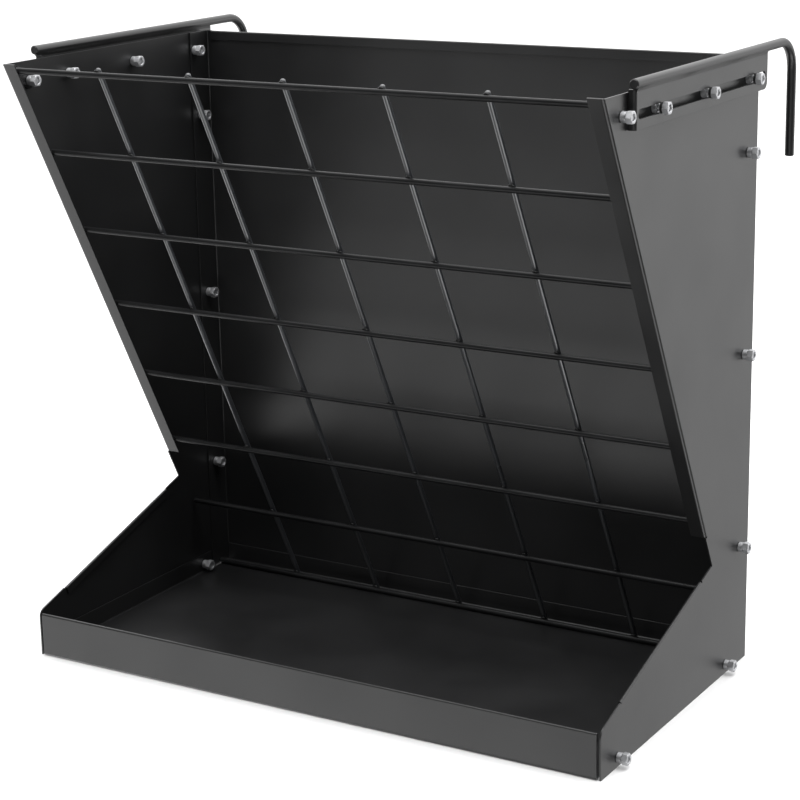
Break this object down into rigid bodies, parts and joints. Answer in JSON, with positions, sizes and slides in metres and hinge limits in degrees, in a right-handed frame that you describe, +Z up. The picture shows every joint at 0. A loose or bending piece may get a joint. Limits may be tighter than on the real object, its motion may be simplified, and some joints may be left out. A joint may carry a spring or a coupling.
{
  "type": "hay feeder box",
  "caption": "Hook-over hay feeder: bent sheet steel hopper and tray, slanted welded wire grid, and two hooks that slide on slotted plates to fit the rail they hang on.",
  "frame": {"origin": "centre of the footprint on the underside, between the tray's lip and the back edges of the side panels", "axes": "+X to the right as seen from the front, +Y to the back, +Z up"},
  "size_m": [0.6408, 0.4043, 0.5913],
  "materials": {
    "black_paint": "semi-gloss",
    "wire_paint": "semi-gloss",
    "zinc": "satin"
  },
  "bodies": {
    "feeder": {"back_panel": "black_paint", "tray_pan": "black_paint", "side_panel_left": "black_paint", "side_panel_right": "black_paint", "grid_lug_left": "wire_paint", "grid_lug_right": "wire_paint", "grid_row_1": "wire_paint", "grid_row_2": "wire_paint", "grid_row_3": "wire_paint", "grid_row_4": "wire_paint", "grid_row_5": "wire_paint", "grid_row_6": "wire_paint", "grid_row_7": "wire_paint", "grid_row_8": "wire_paint", "grid_column_1": "wire_paint", "grid_column_2": "wire_paint", "grid_column_3": "wire_paint", "grid_column_4": "wire_paint", "grid_column_5": "wire_paint", "panel_bolt_left_1": "zinc", "panel_nut_left_1": "zinc", "panel_bolt_left_2": "zinc", "panel_nut_left_2": "zinc", "panel_bolt_left_3": "zinc", "panel_nut_left_3": "zinc", "panel_bolt_left_4": "zinc", "panel_nut_left_4": "zinc", "panel_bolt_left_5": "zinc", "panel_nut_left_5": "zinc", "panel_bolt_left_6": "zinc", "panel_nut_left_6": "zinc", "hook_bolt_left_1": "zinc", "hook_nut_left_1": "zinc", "hook_bolt_left_2": "zinc", "hook_nut_left_2": "zinc", "hook_bolt_left_3": "zinc", "hook_nut_left_3": "zinc", "panel_bolt_right_1": "zinc", "panel_nut_right_1": "zinc", "panel_bolt_right_2": "zinc", "panel_nut_right_2": "zinc", "panel_bolt_right_3": "zinc", "panel_nut_right_3": "zinc", "panel_bolt_right_4": "zinc", "panel_nut_right_4": "zinc", "panel_bolt_right_5": "zinc", "panel_nut_right_5": "zinc", "panel_bolt_right_6": "zinc", "panel_nut_right_6": "zinc", "hook_bolt_right_1": "zinc", "hook_nut_right_1": "zinc", "hook_bolt_right_2": "zinc", "hook_nut_right_2": "zinc", "hook_bolt_right_3": "zinc", "hook_nut_right_3": "zinc"},
    "hook_left": {"hook_plate_left": "black_paint", "hook_rod_left": "black_paint"},
    "hook_right": {"hook_plate_right": "black_paint", "hook_rod_right": "black_paint"}
  },
  "joints": [
    {"name": "hook_left_slide", "type": "slide", "parent": "feeder", "child": "hook_left", "axis": [0, 1, 0], "range_m": [-0.017, 0.029]},
    {"name": "hook_right_slide", "type": "slide", "parent": "feeder", "child": "hook_right", "axis": [0, 1, 0], "range_m": [-0.005, 0.041]}
  ]
}
